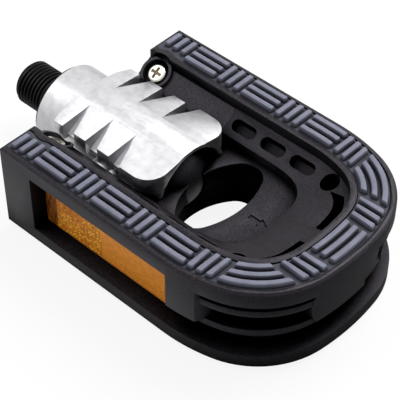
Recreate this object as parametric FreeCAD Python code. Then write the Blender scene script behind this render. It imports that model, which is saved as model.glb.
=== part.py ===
import FreeCAD, Part
import math
import os

os.makedirs("parts", exist_ok=True)
V = FreeCAD.Vector

# driving dimensions, in millimetres
cage_length = 99.7
cage_width = 73.2
cage_height = 29.5
rail_width = 12.8
thread_diameter = 14.29
thread_length = 14.5
barrel_diameter = 27.4
release_travel = 6.0
crank_gap = 2.3

# clearances
body_gap = 0.4
part_gap = 0.1
run_gap = 0.03
seat_gap = 0.55

# places that follow from the driving dimensions
half_w = cage_width / 2
half_h = cage_height / 2
thread_r = thread_diameter / 2
barrel_r = barrel_diameter / 2
cage_start = crank_gap + 12.0
cage_end = cage_start + cage_length
end_depth = 0.41 * cage_length
bend_x = cage_end - end_depth
inner_half = half_w - rail_width
hub_half = inner_half - 7.2
pocket_half = hub_half + body_gap
channel_half = pocket_half + 1.9
lip_z = half_h - 3.25
pocket_z = lip_z - 4.5
sole_z = half_h - 1.2
floor_z = 3.5
flange_z = half_h - 4.95
barrel_end = crank_gap + 41.7
hub_end = barrel_end + 10.0
pivot_x = barrel_end - 11.0
channel_end = barrel_end + 5.2
dome_r = barrel_r - 1.9
seat_r = dome_r + seat_gap
hole_in = barrel_end + 11.3
hole_out = hole_in + 1.041 * pocket_half
pocket_end = hole_out + 12.0
slope = (lip_z - pocket_z) / (inner_half - pocket_half)
side_r = 0.762 * cage_width
corner_r = 0.381 * cage_width
rim_turns = (16.5, 81.5)
pocket_turns = (13.0, 84.5)


def save(shape, name):
    shape.exportStep("parts/" + name + ".step")


def box(x0, x1, y0, y1, z0, z1):
    return Part.makeBox(x1 - x0, y1 - y0, z1 - z0, V(x0, y0, z0))


def rod(r, x0, x1):
    return Part.makeCylinder(r, x1 - x0, V(x0, 0, 0), V(1, 0, 0))


def tube(r_in, r_out, x0, x1):
    return rod(r_out, x0, x1).cut(rod(r_in, x0 - 1, x1 + 1))


def flip_y(shape):
    return shape.mirror(V(0, 0, 0), V(0, 1, 0))


def flip_z(shape):
    return shape.mirror(V(0, 0, 0), V(0, 0, 1))


# a solid from faces that close on one another
def closed(faces):
    solid = Part.makeSolid(Part.makeShell(faces))
    return solid if solid.Volume > 0 else solid.reversed()


def prism(points, z0, z1):
    corners = [V(x, y, z0) for x, y in points]
    wire = Part.makePolygon(corners + corners[:1])
    return Part.Face(wire).extrude(V(0, 0, z1 - z0))


def section(points, x0, x1):
    corners = [V(x0, y, z) for y, z in points]
    wire = Part.makePolygon(corners + corners[:1])
    return Part.Face(wire).extrude(V(x1 - x0, 0, 0))


# a D outline: straight sides that turn through a side arc and a corner arc
# into a flat end arc, all tangent, given by its nodes from side to tip
def end_nodes(half, x_end, r_side, r_corner, turns):
    a, b = [math.radians(t) for t in turns]
    drop = r_side * (1 - math.cos(a)) + r_corner * (math.cos(a) - math.cos(b))
    r_end = (half - drop) / math.cos(b)
    run = r_side * math.sin(a) + r_corner * (math.sin(b) - math.sin(a))
    x, y = x_end - run - r_end * (1 - math.sin(b)), half
    nodes = [(x, y)]
    t0 = 0
    for r, t1 in ((r_side, a), (r_corner, b), (r_end, math.pi / 2)):
        for t in ((t0 + t1) / 2, t1):
            drop = r * (math.cos(t0) - math.cos(t))
            nodes.append((x + r * (math.sin(t) - math.sin(t0)), y - drop))
        x, y = nodes[-1]
        t0 = t1
    return nodes


def d_edges(nodes, x_in, z):
    up = [V(x, y, z) for x, y in nodes]
    down = [V(x, -y, z) for x, y in nodes]
    start = V(x_in, down[0].y, z)
    finish = V(x_in, up[0].y, z)
    return [
        Part.makeLine(start, down[0]),
        Part.Arc(*down[0:3]).toShape(),
        Part.Arc(*down[2:5]).toShape(),
        Part.Arc(down[4], up[6], up[4]).toShape(),
        Part.Arc(*up[4:1:-1]).toShape(),
        Part.Arc(*up[2::-1]).toShape(),
        Part.makeLine(up[0], finish),
        Part.makeLine(finish, start),
    ]


def rim_nodes(inset):
    radii = side_r - inset, corner_r - inset
    return end_nodes(half_w - inset, cage_end - inset, *radii, rim_turns)


def rim(inset, z0, z1, x_in=None):
    x_in = cage_start if x_in is None else x_in
    wire = Part.Wire(d_edges(rim_nodes(inset), x_in, z0))
    return Part.Face(wire).extrude(V(0, 0, z1 - z0))


def ring(inset_out, inset_in, z0, z1):
    return rim(inset_out, z0, z1).cut(rim(inset_in, z0 - 1, z1 + 1, cage_start - 9))


def pocket_edges(z):
    radii = 1.9 * pocket_half, 0.58 * pocket_half
    return d_edges(end_nodes(pocket_half, pocket_end, *radii, pocket_turns), -5, z)


# a shape drawn flat, then laid on the sloping ledge of the rear rail
def on_slope(shape, x, y):
    z = pocket_z + (y - pocket_half) * slope
    turn = FreeCAD.Rotation(V(1, 0, 0), math.degrees(math.atan(slope)))
    moved = shape.copy()
    moved.Placement = FreeCAD.Placement(V(x, y, z), turn)
    return moved


def pill(length, width, depth):
    r = width / 2
    run = length / 2 - r
    body = box(-run, run, -r, r, -depth, 3)
    for x in (-run, run):
        body = body.fuse(Part.makeCylinder(r, depth + 3, V(x, 0, -depth)))
    return body.removeSplitter()


# dished opening between the rails: straight lip, sloping ledge, deep pocket
def between(low, high):
    faces = [Part.Face(Part.Wire(low)), Part.Face(Part.Wire(high))]
    for a, b in zip(low, high):
        faces.append(Part.makeRuledSurface(a, b))
    return closed(faces)


dish = between(pocket_edges(pocket_z), d_edges(rim_nodes(rail_width), -5, lip_z))
mouth = rim(rail_width, lip_z, half_h + 3, -5)
pocket = Part.Face(Part.Wire(pocket_edges(floor_z)))
pocket = pocket.extrude(V(0, 0, pocket_z - floor_z))
opening = dish.fuse([mouth, pocket])

screw_x = cage_start + 5.7
screw_y = inner_half - 2.9
screw_lift = 0.75
screw_head_r = 3.1
screw_r = 1.95
screw_recess_r = 4.25
screw_recess = 1.6
screw_length = 9.0
driver_r = 5.8
arm_floor = 5.2
window_x0 = cage_start + 11.8
window_x1 = bend_x + 5.6
window_depth = 5.1
lens_t = 1.6
back_t = 1.3
block_half = 4.4
block_z = 4.5
block_in = hub_half + 0.6
block_out = inner_half - 0.6
slot_in = pivot_x - block_half - release_travel - body_gap
slot_out = pivot_x + block_half + body_gap
spring_y = (block_in + block_out) / 2 - 1.1
spring_r = 1.7
spring_start = cage_start + 1.6
undercut = 6.5
pad_half = 0.37 * half_w
column_x = window_x1 + 10.9

# solid D block with broken edges
cage = rim(0, -half_h, half_h)
outline = [e for e in cage.Edges if abs(abs(e.CenterOfMass.z) - half_h) < 0.01]
cage = cage.makeChamfer(0.7, outline)
sole = rim(rail_width, -half_h - 1, -sole_z, -5)
cage = cage.cut([opening, sole])

# open channel for the hub, round seat for its domed end, floor hole
cage = cage.cut(
    box(0, channel_end, -channel_half, channel_half, -half_h - 1, half_h + 1)
)
cage = cage.cut(Part.makeSphere(seat_r, V(barrel_end, 0, 0)))


# one through hole in the floor, its shaft a little longer below the floor
def floor_hole(x_in, z0, z1):
    side = 0.918 * pocket_half
    body = box(x_in, hole_out, -side, side, z0, z1)
    near, far = 1.253 * pocket_half, 1.647 * pocket_half
    for r, x in ((near, x_in + near), (far, hole_out - far)):
        body = body.common(Part.makeCylinder(r, z1 - z0, V(x, 0, z0)))
    corners = [e for e in body.Edges if abs(e.tangentAt(e.FirstParameter).z) > 0.9]
    return body.makeFillet(0.35 * pocket_half, corners)


shaft = floor_hole(hole_in - 0.13 * pocket_half, -half_h - 1, -floor_z)
hole = floor_hole(hole_in, -floor_z - 0.1, pocket_z)
cage = cage.cut([hole, shaft])

# blind slots, corner hole and arc pocket on each half of the ledge
ledge_y = (inner_half + pocket_half) / 2
pockets = []
for i in range(3):
    pockets.append(on_slope(pill(8.8, 3.9, 3.6), channel_end + 6.4 + 11.1 * i, ledge_y))
corner = Part.makeCylinder(2.8, 9, V(channel_end + 39.2, ledge_y - 0.9, pocket_z - 2.4))
pockets.append(corner)
arc = rim(rail_width + 1.4, pocket_z - 3, half_h).cut(
    rim(rail_width + 4.4, pocket_z - 4, half_h + 1)
)
pockets.append(arc.common(box(bend_x + 14, cage_end, 3.2, inner_half - 6.6, 0, half_h)))
cage = cage.cut(pockets + [flip_y(p) for p in pockets])

# side windows with room for the reflectors
lens_face = half_w - window_depth
lens_back = lens_face - lens_t - back_t
window = box(window_x0, window_x1, lens_back, half_w + 1, -flange_z, flange_z)
cage = cage.cut([window, flip_y(window)])

# outer end: skirt under the top rim, stepped lips, deep vents, push pad
end_zone = box(window_x1, cage_end + 1, -half_w - 1, half_w + 1, -half_h, half_h)
vent_plan = [
    (column_x - 2.4, half_w + 1),
    (column_x + 1.5, half_w - 6),
    (column_x + 2.5, pad_half),
    (cage_end + 1, pad_half),
    (cage_end + 1, half_w + 1),
]
pad_top = V(column_x, pad_half, 9.5)
pad_side = V(column_x, pad_half + 1.8, 3.6)
pad_foot = V(column_x, pad_half, -2.0)
pad_edges = [Part.Arc(pad_top, pad_side, pad_foot).toShape(), Part.makeLine(pad_foot, pad_top)]
pad_end = Part.Face(Part.Wire(pad_edges)).extrude(V(cage_length, 0, 0))
vents = prism(vent_plan, -half_h, half_h).cut(pad_end)
vents = vents.fuse(flip_y(vents))
cuts = [
    ring(-1, undercut, -flange_z, -7.0).common(end_zone),
    ring(-1, undercut - 2.0, -7.0, -3.7).common(end_zone),
    ring(-1, undercut - 4.5, -3.7, -2.0).common(end_zone),
    ring(-1, 2.0, -2.1, -1.3).common(vents),
    ring(-1, 12.0, -1.4, 5.0).common(vents),
    ring(-1, 0.9, 4.9, 7.3).common(vents),
    ring(-1, 2.6, 7.2, 9.5).common(vents),
]
cage = cage.cut(cuts)

# seats for the treads
tread_out = 1.7
tread_in = rail_width - 1.9
tread_t = 1.9
tread_start = cage_start + 0.6
base_z = half_h - 0.3
bar_z = half_h + 1.2
raised = Part.makeCylinder(1, 1)
screw_axis = on_slope(raised, screw_x, screw_y).Placement
screw_axis = screw_axis.multiply(FreeCAD.Placement(V(0, 0, screw_lift), FreeCAD.Rotation()))


def along_screw(r, low, high):
    body = Part.makeCylinder(r, high - low, V(0, 0, low))
    body.Placement = screw_axis
    return body


def tread_ring(grow):
    body = rim(tread_out - grow, half_h - tread_t, half_h + 1, tread_start - grow)
    body = body.cut(rim(tread_in + grow, 0, half_h + 2, 0))
    keep = along_screw(driver_r + 1.7 - grow, -4, 30)
    return body.cut([keep, flip_y(keep)])


seat = tread_ring(0)
cage = cage.cut([seat, flip_z(seat)])

# driver clearance, arm seats, slide slots and spring pockets at both rails
arm_plan = [
    V(cage_start - 1, channel_half - 3, arm_floor),
    V(channel_end - 0.7, channel_half - 3, arm_floor),
    V(channel_end + 0.8, ledge_y + 0.4, arm_floor),
    V(channel_end + 0.1, inner_half, arm_floor),
    V(cage_start - 1, inner_half, arm_floor),
]


def arm_room(shrink):
    p = [V(v.x - shrink, v.y, v.z) for v in arm_plan]
    top = V(0, -shrink, 0)
    edges = [
        Part.makeLine(arm_plan[0], p[1]),
        Part.Arc(p[1], p[2], p[3] + top).toShape(),
        Part.makeLine(p[3] + top, arm_plan[4] + top),
        Part.makeLine(arm_plan[4] + top, arm_plan[0]),
    ]
    return Part.Face(Part.Wire(edges)).extrude(V(0, 0, half_h - arm_floor + 1))


rear_cuts = [
    along_screw(driver_r, -0.5, 30),
    along_screw(screw_recess_r, -screw_recess - 0.05, 2),
    arm_room(0).common(box(0, cage_end, 0, inner_half, 0, lip_z)),
    box(slot_in, slot_out, channel_half - 3, block_out + body_gap, -4.8, arm_floor),
    box(
        spring_start,
        slot_in + 1,
        channel_half - 3,
        spring_y + spring_r + 0.3,
        -spring_r - 0.9,
        arm_floor,
    ),
    along_screw(screw_r + 0.05, -screw_length - 2, 2),
]
for tool in rear_cuts:
    cage = cage.cut([tool, flip_y(tool)])
save(cage, "cage_frame")

# bearing arm: sloping cap with a round screw boss
arm = arm_room(part_gap).cut(dish)
arm_side = pocket_half + 0.05
arm = arm.common(box(cage_start, cage_end, arm_side, half_w, 0, lip_z))
boss = along_screw(driver_r - 0.6, -9, 0.5).common(
    box(cage_start, cage_end, arm_side, inner_half - part_gap, arm_floor, half_h)
)
arm = arm.fuse(boss)
arm = arm.cut(along_screw(screw_recess_r, -screw_recess, 9))
arm = arm.cut(along_screw(screw_r + 0.15, -30, 9)).removeSplitter()
save(arm, "rear_arm")
save(flip_y(arm), "front_arm")

# cross-head screws, one for each arm
head = Part.makeCylinder(screw_head_r, 1.9, V(0, 0, -screw_recess))
rims = [e for e in head.Edges if abs(e.CenterOfMass.z - 1.9 + screw_recess) < 0.01]
head = head.makeChamfer(0.9, rims)
cross = box(-1.9, 1.9, -0.35, 0.35, -0.6, 2)
cross = cross.fuse(box(-0.35, 0.35, -1.9, 1.9, -0.6, 2))
head = head.cut(cross)
shank = Part.makeCylinder(screw_r, screw_length, V(0, 0, -screw_length))
screw = head.fuse(shank).removeSplitter()
screw.Placement = screw_axis
save(Part.makeCompound([screw, flip_y(screw)]), "arm_screws")

# reflectors: amber lens on a back plate, one in each side window
gap = part_gap
lens = box(
    window_x0 + gap,
    window_x1 - gap,
    lens_back + back_t,
    lens_face,
    gap - flange_z,
    flange_z - gap,
)
lens_rim = box(
    window_x0 + 1.2,
    window_x1 - 1.2,
    lens_face - 0.4,
    lens_face + 1,
    1.2 - flange_z,
    flange_z - 1.2,
)
lens = lens.cut(lens_rim)
back = box(
    window_x0 + gap,
    window_x1 - gap,
    lens_back,
    lens_back + back_t,
    gap - flange_z,
    flange_z - gap,
)
save(lens, "rear_reflector")
save(flip_y(lens), "front_reflector")
save(back, "rear_reflector_plate")
save(flip_y(back), "front_reflector_plate")

# middle line of the tread: outer half of its end arc, corner, side, straight
mid_inset = (tread_out + tread_in) / 2
mid = [V(x, y, 0) for x, y in reversed(rim_nodes(mid_inset))]
mid_line = [Part.Arc(*mid[k : k + 3]).toShape() for k in (0, 2, 4)]
mid_line.append(Part.makeLine(mid[6], V(cage_start, mid[6].y, 0)))
path_length = sum(edge.Length for edge in mid_line)


# point at a distance along that line and to its side, mirrored below zero
def place(s, side):
    mirrored = -1 if s < 0 else 1
    s = min(abs(s), path_length - 0.001)
    for edge in mid_line:
        if s <= edge.Length:
            break
        s -= edge.Length
    u = edge.getParameterByLength(s)
    t = edge.tangentAt(u)
    p = edge.valueAt(u)
    return p.x + t.y * side, (p.y - t.x * side) * mirrored


# one rubber bar with sloping flanks, bent along the middle line
def bar(s0, s1, side0, side1, parts):
    loops = []
    for z, grow in ((base_z - 0.25, 0.5), (bar_z, 0.0)):
        along = [s0 - grow + (s1 - s0 + 2 * grow) * i / parts for i in range(parts + 1)]
        loop = [place(s, side0 - grow) for s in along]
        loop += [place(s, side1 + grow) for s in reversed(along)]
        loops.append([V(x, y, z) for x, y in loop])
    low, high = loops
    flats = loops[:]
    for i in range(len(low)):
        flats.append([low[i - 1], low[i], high[i]])
        flats.append([low[i - 1], high[i], high[i - 1]])
    faces = [Part.Face(Part.makePolygon(flat + flat[:1])) for flat in flats]
    return closed(faces)


bar_half = (tread_in - tread_out) / 2 - 1.0
bar_w = 1.55
pitch = (2 * bar_half - bar_w) / 2
scale = path_length / 112.6
# distance along the path where each group starts and ends, and how it lies
groups = [
    (-8.3, 8.3, "curve"),
    (9.9, 17.7, "cross"),
    (19.4, 33.6, "curve"),
    (35.3, 43.2, "cross"),
    (44.7, 56.1, "long"),
    (57.6, 65.4, "cross"),
    (66.9, 78.6, "long"),
    (80.1, 87.9, "cross"),
    (89.4, 101.2, "long"),
    (102.7, 110.6, "cross"),
]
bars = []
for low, high, kind in groups:
    low = low * scale
    high = high * scale
    for sign in (1, -1):
        if low < 0 and sign < 0:
            continue
        for k in range(3):
            if kind == "cross":
                w = bar_w
                a = low + k * (high - low - w) / 2
                cut = 1.5 if low > 100 * scale else 0
                one = bar(a, a + w, cut - bar_half, bar_half, 1)
            else:
                a = -bar_half + k * pitch
                parts = 8 if kind == "curve" else 1
                one = bar(low, high, a, a + bar_w, parts)
            bars.append(one if sign > 0 else flip_y(one))

base = tread_ring(-part_gap).common(
    box(0, cage_end, -half_w, half_w, half_h - tread_t + 0.02, base_z)
)
tread = base.multiFuse(bars).removeSplitter()
save(tread, "top_tread")
save(flip_z(tread), "bottom_tread")

# hub: round barrel, ribbed canopy over the domed end, pivot bosses
blade_half = hub_half - 0.8
wing_edge_z = barrel_r - 3.0
wing_section = [
    (-blade_half - 3, 6.6),
    (-barrel_r + 2.2, 5.0),
    (barrel_r - 2.2, 5.0),
    (blade_half + 3, 6.6),
    (blade_half + 3, wing_edge_z),
    (5.0, math.sqrt(barrel_r**2 - 25)),
    (-5.0, math.sqrt(barrel_r**2 - 25)),
    (-blade_half - 3, wing_edge_z),
]
wing_start = crank_gap + 10.2
lobe_start = barrel_end - 3.6
wing = section(wing_section, wing_start, hub_end)
plan = [
    V(wing_start, 0, 0),
    V(wing_start, blade_half - 5, 0),
    V(wing_start + 1.6, blade_half, 0),
    V(lobe_start, blade_half, 0),
    V(lobe_start + 1.4, hub_half, 0),
    V(hub_end - 6.5, hub_half, 0),
]
bend = Part.Arc(plan[-1], V(hub_end - 1.6, hub_half - 2.4, 0), V(hub_end, 10.4, 0))
plan_wire = Part.Wire(
    [Part.makeLine(plan[i], plan[i + 1]) for i in range(5)]
    + [
        bend.toShape(),
        Part.makeLine(V(hub_end, 10.4, 0), V(hub_end, 0, 0)),
        Part.makeLine(V(hub_end, 0, 0), plan[0]),
    ]
)
half_plan = Part.Face(plan_wire).extrude(V(0, 0, half_h))
wing = wing.common(half_plan.fuse(flip_y(half_plan)))
# grooves between the blades: sloping floor, open mouth at the blade's edge
mouth_y = blade_half - 1.6
notches = []
for i in range(3):
    tip = crank_gap + 15.9 + 9.5 * i
    plan_cut = prism([(tip, 5.0), (tip + 5.4, 19), (tip - 0.8, 19)], 2, half_h)
    floor_line = [(5.0, barrel_r - 0.9), (mouth_y, 7.0), (mouth_y, half_h), (5.0, half_h)]
    groove = section(floor_line, tip - 2, tip + 6).common(plan_cut)
    mouth = plan_cut.common(box(0, hub_end, mouth_y - 0.01, half_w, 0, half_h))
    groove = groove.fuse(mouth)
    notches += [groove, flip_y(groove)]
wing = wing.cut(notches)
crest = rod(barrel_r, barrel_end - 1, hub_end).common(
    box(0, cage_end, -half_w, half_w, 4.0, half_h)
)
boss = Part.makeCylinder(6.0, 2 * hub_half, V(pivot_x, -hub_half, 0), V(0, 1, 0))
barrel = rod(barrel_r, crank_gap, barrel_end)
ends = [e for e in barrel.Edges if abs(e.CenterOfMass.x - crank_gap) < 0.01]
barrel = barrel.makeChamfer(0.6, ends)
hub = barrel.fuse([wing, crest, boss])
hub = hub.cut(rod(barrel_r - 1.1, barrel_end, hub_end + 1))

# spindle steps, bushes and bore sizes
journal_r = 5.5
tail_r = 4.5
stud_r = 4.0
bush_r = 7.5
tail_bush_r = 6.5
cap_r = 9.5
seal_r = 8.9
bush_x0 = crank_gap + 2.0
bush_x1 = bush_x0 + 12.0
tail_x0 = barrel_end - 16.5
tail_x1 = tail_x0 + 8.0
pin_r = 2.5
pin_in = bush_r + 1.2
hub = hub.cut(
    [
        rod(seal_r, crank_gap - 1, bush_x0),
        rod(bush_r, crank_gap - 1, bush_x1),
        rod(journal_r + 0.6, crank_gap, tail_x0),
        rod(tail_bush_r, tail_x0, tail_x1),
        rod(cap_r, tail_x1, barrel_end + 1),
    ]
)
for sign in (1, -1):
    bore = Part.makeCylinder(pin_r, 30, V(pivot_x, sign * pin_in, 0), V(0, sign, 0))
    hub = hub.cut(bore)
save(hub.removeSplitter(), "hub")

# spindle with thread core, shoulder, stepped journal and hex socket
flange = 1.2
spindle = rod(thread_r, -thread_length, 0)
lead = [e for e in spindle.Edges if abs(e.CenterOfMass.x + thread_length) < 0.01]
spindle = spindle.makeChamfer(0.9, lead)
nut_x0 = tail_x1 + 1.2
nut_x1 = nut_x0 + 3.6
spindle = spindle.fuse(
    [
        rod(thread_r + 1.4, 0, flange),
        rod(journal_r, 0, tail_x0 - 0.6),
        rod(tail_r, 0, tail_x1 + 0.1),
        rod(stud_r, 0, nut_x1 + 0.6),
    ]
)


def hexagon(across, x0, x1):
    r = across / math.sqrt(3)
    points = [(r * math.cos(k * math.pi / 3), r * math.sin(k * math.pi / 3)) for k in range(6)]
    return section(points, x0, x1)


spindle = spindle.cut(hexagon(6.0, -thread_length - 1, -thread_length + 7))
save(spindle.removeSplitter(), "spindle")

save(tube(journal_r + run_gap, bush_r, bush_x0, bush_x1), "inboard_bush")
save(tube(tail_r + run_gap, tail_bush_r, tail_x0, tail_x1), "outboard_bush")
save(tube(stud_r, cap_r - 1.6, tail_x1 + 0.1, nut_x0), "thrust_washer")
nut = hexagon(11.0, nut_x0, nut_x1).cut(rod(stud_r, nut_x0 - 1, nut_x1 + 1))
save(nut, "lock_nut")

# seal disc in the hub's inboard face, just clear of the spindle
seal = tube(journal_r + 0.5, barrel_r - 0.9, crank_gap - 0.6, crank_gap)
seal = seal.fuse(tube(journal_r + 0.5, seal_r, crank_gap - 0.6, crank_gap + 1.8))
save(seal.removeSplitter(), "inboard_seal")

# domed end cap with a spigot in the barrel's end
steps = 6
turns = [math.pi / 2 * i / steps for i in range(steps + 1)]
dome_line = [V(barrel_end + dome_r * math.sin(t), dome_r * math.cos(t), 0) for t in turns]
dome_line.append(V(barrel_end, 0, 0))
dome = Part.Face(Part.makePolygon(dome_line + dome_line[:1]))
dome = dome.revolve(V(barrel_end, 0, 0), V(1, 0, 0), 360)
spigot = rod(cap_r, barrel_end - 2.4, barrel_end + 0.2)
cap = dome.fuse(spigot).cut(rod(cap_r - 1.6, barrel_end - 9, barrel_end + 3.5))
save(cap.removeSplitter(), "end_cap")

# pivot pins pressed into the hub, sliding blocks on them, zigzag springs
pin = Part.makeCylinder(
    pin_r, block_out - 0.5 - pin_in, V(pivot_x, pin_in, 0), V(0, 1, 0)
)
save(pin, "rear_pivot_pin")
save(flip_y(pin), "front_pivot_pin")

block = box(
    pivot_x - block_half, pivot_x + block_half, block_in, block_out, -block_z, block_z
)
tall = [e for e in block.Edges if abs(e.tangentAt(e.FirstParameter).y) > 0.9]
block = block.makeFillet(0.8, tall)
block = block.cut(
    Part.makeCylinder(pin_r + run_gap, 30, V(pivot_x, 0, 0), V(0, 1, 0))
)
save(block, "rear_pivot_block")
save(flip_y(block), "front_pivot_block")

wire_t = 0.5
spring_end = pivot_x - block_half - 0.05
turns = 9
step = (spring_end - spring_start - 0.1) / turns
upper = []
lower = []
for i in range(turns + 1):
    x = spring_start + 0.05 + i * step
    y = spring_y + (spring_r - 0.5) * (1 if i % 2 else -1)
    upper.append((x, y + wire_t))
    lower.append((x, y - wire_t))
spring = prism(upper + lower[::-1], -spring_r, spring_r)
save(spring, "rear_spring")
save(flip_y(spring), "front_spring")
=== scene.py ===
import math

import bmesh
import bpy
from mathutils import Matrix, Vector


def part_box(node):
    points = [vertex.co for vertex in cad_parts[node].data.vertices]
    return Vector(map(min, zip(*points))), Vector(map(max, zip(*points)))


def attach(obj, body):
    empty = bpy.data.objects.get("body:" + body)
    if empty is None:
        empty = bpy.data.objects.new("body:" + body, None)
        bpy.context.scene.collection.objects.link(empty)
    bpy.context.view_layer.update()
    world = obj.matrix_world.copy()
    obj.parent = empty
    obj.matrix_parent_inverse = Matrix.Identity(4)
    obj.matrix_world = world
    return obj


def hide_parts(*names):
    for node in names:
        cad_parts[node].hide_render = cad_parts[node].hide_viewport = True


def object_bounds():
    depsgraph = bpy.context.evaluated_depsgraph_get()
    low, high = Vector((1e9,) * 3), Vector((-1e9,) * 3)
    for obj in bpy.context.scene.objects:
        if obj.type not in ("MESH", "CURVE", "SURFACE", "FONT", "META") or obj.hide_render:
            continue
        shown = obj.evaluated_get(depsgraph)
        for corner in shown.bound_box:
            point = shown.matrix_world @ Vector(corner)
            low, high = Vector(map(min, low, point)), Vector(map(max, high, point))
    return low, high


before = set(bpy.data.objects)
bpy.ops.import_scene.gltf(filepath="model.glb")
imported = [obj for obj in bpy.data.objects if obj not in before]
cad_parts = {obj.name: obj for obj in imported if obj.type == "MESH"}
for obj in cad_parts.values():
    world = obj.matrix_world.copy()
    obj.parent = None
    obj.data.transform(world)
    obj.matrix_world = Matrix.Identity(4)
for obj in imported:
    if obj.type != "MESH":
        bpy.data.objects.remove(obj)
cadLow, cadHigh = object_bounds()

scene = bpy.context.scene
mm = 0.001
weldGap = 0.001 * mm
rightAngle = math.radians(90)
upward = (0, 0, 1)
white = (1, 1, 1, 1)
unit = (0.0, 1.0)


# small helpers for objects and meshes

def makeObject(name, data):
    obj = bpy.data.objects.new(name, data)
    scene.collection.objects.link(obj)
    return obj


def makeMesh(name, points, faces):
    mesh = bpy.data.meshes.new(name)
    mesh.from_pydata([tuple(p) for p in points], [], [tuple(f) for f in faces])
    mesh.validate()
    return mesh


def seedPoint(name):  # one point for a node tree to grow a piece from
    return makeObject(name, makeMesh(name, [(0, 0, 0)], []))


def settle(obj):  # modifiers become a plain mesh
    bpy.context.view_layer.update()
    graph = bpy.context.evaluated_depsgraph_get()
    mesh = bpy.data.meshes.new_from_object(obj.evaluated_get(graph))
    obj.modifiers.clear()
    obj.data = mesh
    return obj


def shade(mesh, angle):  # smooth faces, sharp edges above the angle
    mesh.polygons.foreach_set("use_smooth", [True] * len(mesh.polygons))
    mesh.set_sharp_from_angle(angle=math.radians(angle))
    mesh.update()


def tidyNormals(mesh):
    work = bmesh.new()
    work.from_mesh(mesh)
    bmesh.ops.remove_doubles(work, verts=work.verts, dist=weldGap)
    bmesh.ops.recalc_face_normals(work, faces=work.faces)
    work.to_mesh(mesh)
    work.free()


def turnMesh(obj, angle, axis):
    obj.data.transform(Matrix.Rotation(angle, 4, axis))


def moveMesh(obj, place):
    obj.data.transform(Matrix.Translation(place))


def setMaterial(obj, material):
    obj.data.materials.clear()
    obj.data.materials.append(material)


def joinInto(name, pieces):
    work = bmesh.new()
    for piece in pieces:
        work.from_mesh(piece.data)
    mesh = bpy.data.meshes.new(name)
    work.to_mesh(mesh)
    work.free()
    for piece in pieces:
        bpy.data.objects.remove(piece)
    return makeObject(name, mesh)


def carve(obj, cutter):
    cut = obj.modifiers.new("carve", "BOOLEAN")
    cut.operation = "DIFFERENCE"
    cut.solver = "EXACT"
    cut.object = cutter
    settle(obj)
    bpy.data.objects.remove(cutter)
    return obj


def ringFaces(low, high, count):  # quads between two rings of points
    faces = []
    for k in range(count):
        after = (k + 1) % count
        faces.append((low + k, low + after, high + after, high + k))
    return faces


def lathe(name, profile, steps):  # profile of (x, radius) turned about the X axis
    points = []
    for x, radius in profile:
        for k in range(steps):
            turn = 2 * math.pi * k / steps
            points.append((x, radius * math.cos(turn), radius * math.sin(turn)))
    faces = []
    for j in range(len(profile) - 1):
        faces += ringFaces(j * steps, (j + 1) * steps, steps)
    obj = makeObject(name, makeMesh(name, points, faces))
    tidyNormals(obj.data)
    return obj


def slab(name, outline, low, high):  # a flat outline given a height
    count = len(outline)
    points = [(x, y, z) for z in (low, high) for x, y in outline]
    faces = [tuple(range(count)), tuple(range(count, 2 * count))]
    faces += ringFaces(0, count, count)
    obj = makeObject(name, makeMesh(name, points, faces))
    tidyNormals(obj.data)
    return obj


def makeCurve(name, points, cyclic=False):
    curve = bpy.data.curves.new(name, "CURVE")
    curve.dimensions = "3D"
    spline = curve.splines.new("POLY")
    spline.points.add(len(points) - 1)
    for knot, point in zip(spline.points, points):
        knot.co = (*point, 1)
    spline.use_cyclic_u = cyclic
    return makeObject(name, curve)


def carryVectors(mesh, carried):  # named vectors on the points of a mesh
    for label, values in carried.items():
        layer = mesh.attributes.new(label, "FLOAT_VECTOR", "POINT")
        layer.data.foreach_set("vector", [part for value in values for part in value])


def pointCloud(name, places, **carried):  # bare points that carry vectors
    mesh = makeMesh(name, places, [])
    carryVectors(mesh, carried)
    return makeObject(name, mesh)


def hand(obj, body, slot, *nodes):  # parents a finished piece to its body and hides the nodes it replaces
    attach(obj, body)
    if nodes:
        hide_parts(*nodes)


# small helpers for node trees

def addNode(tree, kind, inputs=None, **settings):
    made = tree.nodes.new(kind)
    for key, value in settings.items():
        setattr(made, key, value)
    for key, value in (inputs or {}).items():
        if isinstance(value, bpy.types.NodeSocket):
            tree.links.new(value, made.inputs[key])
        else:
            made.inputs[key].default_value = value
    return made


def mathNode(tree, operation, *values):
    inputs = dict(enumerate(values))
    return addNode(tree, "ShaderNodeMath", inputs, operation=operation).outputs[0]


def vectorMath(tree, operation, a, b):
    made = addNode(tree, "ShaderNodeVectorMath", {0: a, 1: b}, operation=operation)
    return made.outputs[0]


def scaled(tree, vector, factor):
    inputs = {0: vector, "Scale": factor}
    return addNode(tree, "ShaderNodeVectorMath", inputs, operation="SCALE").outputs[0]


def split(tree, vector):  # the three parts of a vector
    return addNode(tree, "ShaderNodeSeparateXYZ", {0: vector}).outputs


def mapRange(tree, value, source, target):  # a value carried from one range to another
    inputs = {0: value, 1: source[0], 2: source[1], 3: target[0], 4: target[1]}
    return addNode(tree, "ShaderNodeMapRange", inputs).outputs[0]


def newTree(name, **inputs):  # node tree with named inputs and one geometry output
    tree = bpy.data.node_groups.new(name, "GeometryNodeTree")
    ports = tree.interface
    ports.new_socket(name="Geometry", in_out="INPUT", socket_type="NodeSocketGeometry")
    for label, kind in inputs.items():
        ports.new_socket(name=label, in_out="INPUT", socket_type="NodeSocket" + kind)
    ports.new_socket(name="Geometry", in_out="OUTPUT", socket_type="NodeSocketGeometry")
    given = tree.nodes.new("NodeGroupInput").outputs
    result = tree.nodes.new("NodeGroupOutput").inputs
    return tree, given, result


def grow(obj, tree, **values):  # runs a node tree on an object and keeps its mesh
    modifier = obj.modifiers.new(tree.name, "NODES")
    modifier.node_group = tree
    for item in tree.interface.items_tree:
        if item.in_out == "INPUT" and item.name in values:
            modifier[item.identifier] = values[item.name]
    return settle(obj)


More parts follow.
